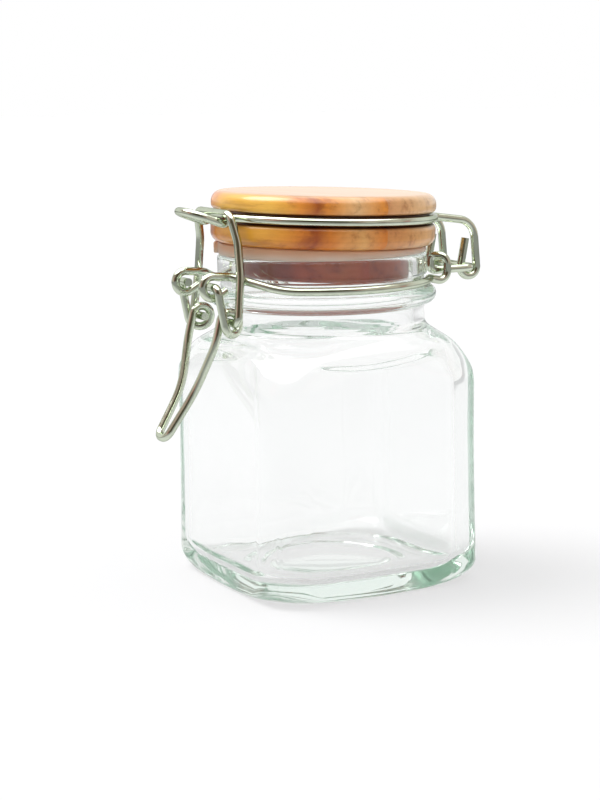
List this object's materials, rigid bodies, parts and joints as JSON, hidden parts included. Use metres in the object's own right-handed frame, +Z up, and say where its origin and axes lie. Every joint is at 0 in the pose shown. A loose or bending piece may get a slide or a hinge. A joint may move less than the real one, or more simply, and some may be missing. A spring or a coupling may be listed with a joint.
{
  "type": "spice jar",
  "caption": "Small square glass spice jar with a turned wooden lid, a soft gasket and a steel wire clip closure that hinges at the back and latches at the front.",
  "frame": {"origin": "centre of the jar's flat underside, on the surface it stands on", "axes": "+Z up; -Y towards the latch and its finger lever; +Y towards the hinge; X along the hinge bar"},
  "size_m": [0.0546, 0.0781, 0.0874],
  "materials": {
    "glass": "clear soda glass, smooth",
    "steel_wire": "bright drawn steel",
    "lid_wood": "turned hardwood with a glossy clear lacquer",
    "silicone": "translucent milky silicone, satin"
  },
  "bodies": {
    "jar": {"glass_jar": "glass", "neck_wire": "steel_wire"},
    "lid": {"wooden_lid": "lid_wood", "gasket": "silicone", "lid_wire": "steel_wire"},
    "lever": {"lever_wire": "steel_wire"},
    "bail": {"bail_wire": "steel_wire"}
  },
  "joints": [
    {"name": "lid_hinge", "type": "hinge", "parent": "jar", "child": "lid", "pos_m": [0, 0.0341, 0.0683], "axis": [-1, 0, 0], "range_deg": [0, 105]},
    {"name": "lever_pivot", "type": "hinge", "parent": "jar", "child": "lever", "pos_m": [0, -0.03037, 0.0678], "axis": [-1, 0, 0], "range_deg": [0, 120]},
    {"name": "bail_pivot", "type": "hinge", "parent": "lever", "child": "bail", "pos_m": [0, -0.0266, 0.06], "axis": [-1, 0, 0], "range_deg": [-120, 0], "deforming": ["bail_wire"]}
  ],
  "couplings": [
    {"joint": "bail_pivot", "follows": "lever_pivot", "ratio": -1}
  ]
}
